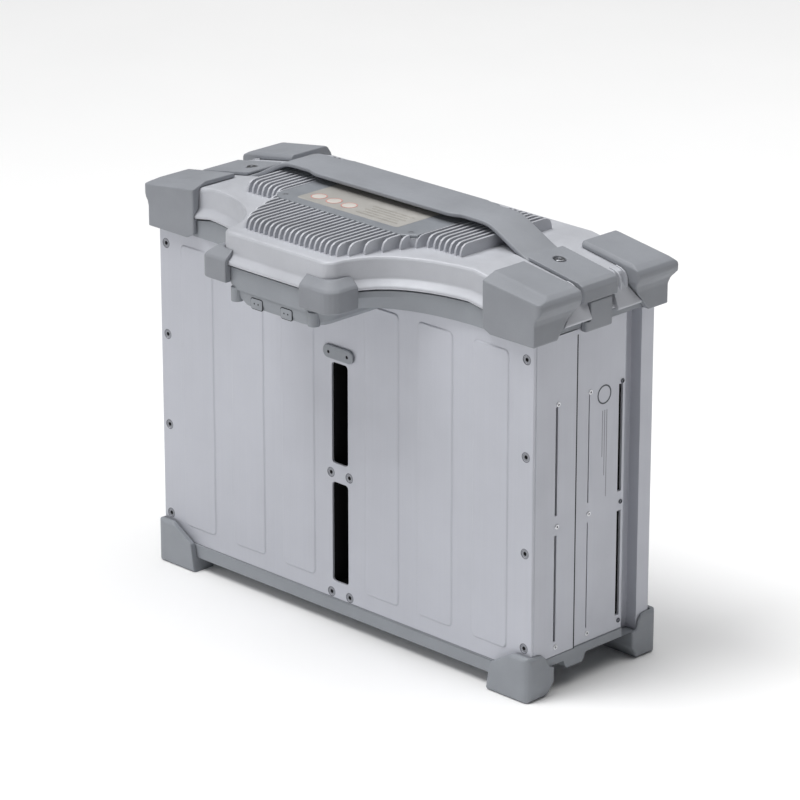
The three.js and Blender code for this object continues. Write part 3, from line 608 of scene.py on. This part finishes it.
def panel_screw(name, place, direction, radius=SCREW_RADIUS):
    """A hexagon-socket screw, its low head a little proud of the place given."""
    rings = [circle_ring(radius * share, height, hexagon) for share, height, hexagon in (
        (0.45, -4.0, 0), (0.45, -1.5, 0), (0.92, -0.35, 0), (1, -0.2, 0), (0.96, 0, 0),
        (0.7, 0.12, 0), (0.54, 0.08, 1), (0.48, -0.08, 1), (0.46, -1.1, 1), (0.2, -1.3, 1))]
    mesh = from_rings(name, rings, facing(direction, place), 30)
    mesh.materials.append(HEAD_GREY)
    # RECESS_DARK, added as the second material, is painted shade for the inside of the socket.
    add_object(name, mesh, RECESS_DARK)
    paint_socket_shade(mesh, place, direction, radius * 0.49)


def cup_ring(name, place, direction):
    """The finishing washer under a screw's head, in a darker grey that also paints the shade of the
    countersink round the head.
    """
    rings = [circle_ring(RIM_RADIUS + out, height) for out, height in (
        (-0.5, -0.3), (-0.35, 0.02), (-0.1, 0.16), (0.15, 0.12), (0.4, -0.05), (0.35, -0.3))]
    washer(name, rings, place, direction, RIM_GREY)


def rimmed_screw(kind, label, x, wall, z, direction):
    """A panel screw in its washer, in the sheet whose face is at wall."""
    panel_screw(f"{kind}_screw_{label}", at(x, wall + SCREW_SHIFT, z), direction)
    cup_ring(f"{kind}_rim_{label}", at(x, wall, z), direction)


def side_screw(name, place, direction, ring_metal):
    """A small pan-head screw: a ring of metal with its hollow painted near-black as shade."""
    rings = [circle_ring(radius, height, hexagon) for radius, height, hexagon in (
        (1.5, -1.5, 0), (1.75, 0.05, 0), (1.72, 0.4, 0), (1.5, 0.62, 0), (1.05, 0.66, 0),
        (0.85, 0.55, 1), (0.8, -0.5, 1), (0.3, -0.6, 1))]
    mesh = from_rings(name, rings, facing(direction, place), 30)
    mesh.materials.append(ring_metal)
    add_object(name, mesh, RECESS_DARK)
    paint_socket_shade(mesh, place, direction, 0.86)


for row, z in enumerate(EDGE_SCREW_Z, 1):
    for side, side_name in BOTH_SIDES:
        label = f"{side_name}_{row}"
        rimmed_screw("edge", label, side * EDGE_SCREW_X, 0, z, FRONT)
        rimmed_screw("back", label, side * EDGE_SCREW_X, CASE_DEPTH, z, BACK)
for row, z in enumerate(SLOT_SCREW_Z, 1):
    for side, side_name in BOTH_SIDES:
        label = f"{side_name}_{row}"
        if row < len(SLOT_SCREW_Z):
            rimmed_screw("slot", label, side * SLOT_SCREW_X, 0, z, FRONT)
        else:
            place = at(side * SLOT_SCREW_X, STATUS_PLATE_FACE + 0.1, z)
            panel_screw(f"slot_screw_{label}", place, FRONT, PLATE_SCREW_RADIUS)
for side, side_name in BOTH_SIDES:
    for column, y in enumerate(SIDE_SCREW_Y, 1):
        wall = SIDE_WALL if column == 1 else RECESSED_WALL
        ring_metal = DARK_STEEL if column == 3 else RING_STEEL
        for row, z in enumerate(SIDE_SCREW_Z, 1):
            side_screw(f"side_screw_{side_name}_{column}_{row}", at(side * wall, y, z), (side, 0, 0),
                       ring_metal)


# ---- overhang: lip screws and hinge clips ------------------------------------------------------

LIP_SCREW = (78.6, -5.7, 281.6)
LIP_SCREW_RADIUS = 2.6
LIP_NORMAL = (0, -0.35, 0.94)
HOUSING_FACE = -61.5
CLIPS = ((-18.0, "left"), (11.5, "right"))
CLIP_Z = 254.6
CLIP_THICKNESS = 0.75
RIVET_OFFSET = 1.9
RIVET_Z = 254.9


def make_rivet(name, place):
    rings = [circle_ring(radius, height) for radius, height in (
        (0.62, -0.3), (0.62, 0.04), (0.5, 0.1), (0.2, 0.12))]
    add_object(name, from_rings(name, rings, facing(FRONT, place)), RECESS_DARK)


def make_clip(x, side_name):
    """A hinge leaf on the housing's front, with a dark outline of painted shade round it and two rivets.
    """
    place = at(x, HOUSING_FACE, CLIP_Z)
    # The near-black tile, a little larger than the leaf, paints the shade in the gap round it.
    tile(f"clip_shade_{side_name}", (12.2, 8.4), 2.1, 0.2, place, FRONT, RECESS_DARK,
         0.05)
    tile(f"hinge_clip_{side_name}", (11, 7.2), 1.6, CLIP_THICKNESS, place, FRONT,
         FINISHES["tray_plastic"])
    for number, offset in enumerate((-RIVET_OFFSET, RIVET_OFFSET), 1):
        make_rivet(f"clip_rivet_{side_name}_{number}",
                   at(x + offset, HOUSING_FACE - CLIP_THICKNESS, RIVET_Z))


for side, side_name in BOTH_SIDES:
    x, y, z = LIP_SCREW
    panel_screw(f"lip_screw_{side_name}", at(side * x, y, z), LIP_NORMAL, LIP_SCREW_RADIUS)
for x, side_name in CLIPS:
    make_clip(x, side_name)


# ---- label and plate screws --------------------------------------------------------------------

LABEL_X = (-52, 48)
LABEL_Y = (9, 88)
LABEL_SKIN = 0.12                # thickness of the foil, and of each mark printed on it
DISC_COUNT = 3
DISC_PITCH = 15
BAR_COUNT = 5
BAR_PITCH = 4.2
BAR_X = 22
CORNER_SCREW_X = 62
CORNER_SCREW_Y = ((8.5, "front"), (89.5, "rear"))
CORNER_SCREW_RADIUS = 2.3


def label_tile(name, x, y, size, radius, level, material):
    tile(name, size, radius, LABEL_SKIN, at(x, y, PLATE_TOP + level), UP, material,
         0.04)


def flat_ring(name, place, direction, outer, inner, level, material):
    """A printed ring: a very thin washer."""
    rings = [circle_ring(radius, height, count=48) for radius, height in (
        (outer, -0.1), (outer, level), (inner, level), (inner, -0.1))]
    washer(name, rings, place, direction, material)


def make_label():
    """A plain foil with three ringed discs and five bars, which say nothing."""
    left, right = LABEL_X
    front, rear = LABEL_Y
    label_tile("label_foil", (left + right) / 2, (front + rear) / 2, (right - left, rear - front), 3, 0,
               LABEL_FOIL)
    for i in range(DISC_COUNT):
        x = left + 11 + DISC_PITCH * i
        y = front + 12
        label_tile(f"label_disc_{i + 1}", x, y, (11, 11), 5.4, LABEL_SKIN, LABEL_PALE)
        flat_ring(f"label_ring_{i + 1}", at(x, y, PLATE_TOP + LABEL_SKIN), UP, 6.0, 5.2, 0.16, LABEL_RED)
    for i in range(BAR_COUNT):
        length = 40 - 6 * (i % 2)
        label_tile(f"label_bar_{i + 1}", BAR_X, front + 6 + BAR_PITCH * i, (length, 1.5), 0.6, LABEL_SKIN,
                   LABEL_GREY)


make_label()
for side, side_name in BOTH_SIDES:
    for y, end in CORNER_SCREW_Y:
        panel_screw(f"plate_screw_{end}_{side_name}", at(side * CORNER_SCREW_X, y, PLATE_TOP + 0.05), UP,
                    CORNER_SCREW_RADIUS)


# ---- ends: marks, and painted shade in the slots and at the seams ------------------------------

MARK_Y, MARK_Z = 71.7, 206.5
LINE_BARS = ((70.2, 178, 34), (72.4, 171, 48), (74.6, 163, 64))      # y, middle z, length
# Near-black sheets inside two slot columns: painted shade in the slots.
SLOT_SHADE_SHEETS = ((23.3, 2.6), (56.6, 3.6))         # y and depth, behind two of the slot columns
SLOT_SHADE_Z = 124
SLOT_SHADE_SIZE = (7, 182)
# The dark strip at SEAM_Y, from SEAM_LOW to SEAM_HIGH, is a painted shadow along the step of the side
# panel.
SEAM_Y = 43.1
SEAM_LOW, SEAM_HIGH = 26, 257
SEAM_WIDTH = 1.1


def finish_end(side, side_name):
    outward = (side, 0, 0)
    flat_ring(f"side_mark_{side_name}", at(side * RECESSED_WALL, MARK_Y, MARK_Z), outward, 7.0, 5.9, 0.08,
              MARK_DARK)
    for number, (y, z, length) in enumerate(LINE_BARS, 1):
        tile(f"side_bar_{side_name}_{number}", (0.7, length), 0.3, 0.06, at(side * RECESSED_WALL, y, z),
             outward, BAR_GREY, 0.03)
    # near-black sheets behind the slots: painted shade
    for number, (y, depth) in enumerate(SLOT_SHADE_SHEETS, 1):
        tile(f"slot_shade_{side_name}_{number}", SLOT_SHADE_SIZE, 0.5, 0.4,
             at(side * (SIDE_WALL - depth), y, SLOT_SHADE_Z), outward, RECESS_DARK, 0.1)
    # painted shadow line along the side panel's step
    tile(f"seam_shadow_{side_name}", (SEAM_WIDTH, SEAM_HIGH - SEAM_LOW), 0.3, 0.05,
         at(side * SIDE_WALL, SEAM_Y, (SEAM_LOW + SEAM_HIGH) / 2), outward, RECESS_DARK,
         0.02)


for side, side_name in BOTH_SIDES:
    finish_end(side, side_name)


# ---- stage and light ---------------------------------------------------------------------------

FLOOR_SIZE = 60                  # metres, so that the floor fills the camera's view
LIGHT_TARGET = (0, 0, 0.16)      # about the middle of the pack


def make_stage():
    """A plain pale paper floor."""
    bpy.ops.mesh.primitive_plane_add(size=FLOOR_SIZE)
    floor = bpy.context.object
    floor.name = "floor"
    f = Finish("floor_paper")
    paper = f.noise(3, 4)
    f.colour(f.ramp(paper, [(0.3, (0.95, 0.95, 0.95, 1)), (0.7, (0.97, 0.97, 0.97, 1))]))
    f.roughness(paper, 0.85, 0.95)
    floor.data.materials.append(f.material)


def make_world(strength):
    world = bpy.data.worlds.new("studio")
    world.use_nodes = True
    background = world.node_tree.nodes["Background"]
    background.inputs["Color"].default_value = (1, 1, 1, 1)
    background.inputs["Strength"].default_value = strength
    bpy.context.scene.world = world


def sun_light(name, toward, strength, spread):
    """Even light over the whole floor, coming from the direction given, spread over some degrees."""
    data = bpy.data.lights.new(name, "SUN")
    data.energy = strength
    data.angle = math.radians(spread)
    light = bpy.data.objects.new(name, data)
    light.rotation_euler = Vector(toward).to_track_quat("Z", "Y").to_euler()
    bpy.context.scene.collection.objects.link(light)


def area_light(name, place, size, power):
    data = bpy.data.lights.new(name, "AREA")
    data.shape = "RECTANGLE"
    data.size, data.size_y = size
    data.energy = power
    light = bpy.data.objects.new(name, data)
    light.location = place
    light.rotation_euler = (Vector(LIGHT_TARGET) - Vector(place)).to_track_quat("-Z", "Y").to_euler()
    bpy.context.scene.collection.objects.link(light)


make_stage()
make_world(0.1)
area_light("key_front", (-0.9, -2.6, 1.5), (2.2, 1.6), 16)
area_light("top_soft", (0.2, 0.3, 2.4), (2.4, 2.4), 40)
sun_light("sky_soft", (-0.25, -0.4, 1), 1.75, 28)
bpy.context.scene.view_settings.view_transform = "Standard"
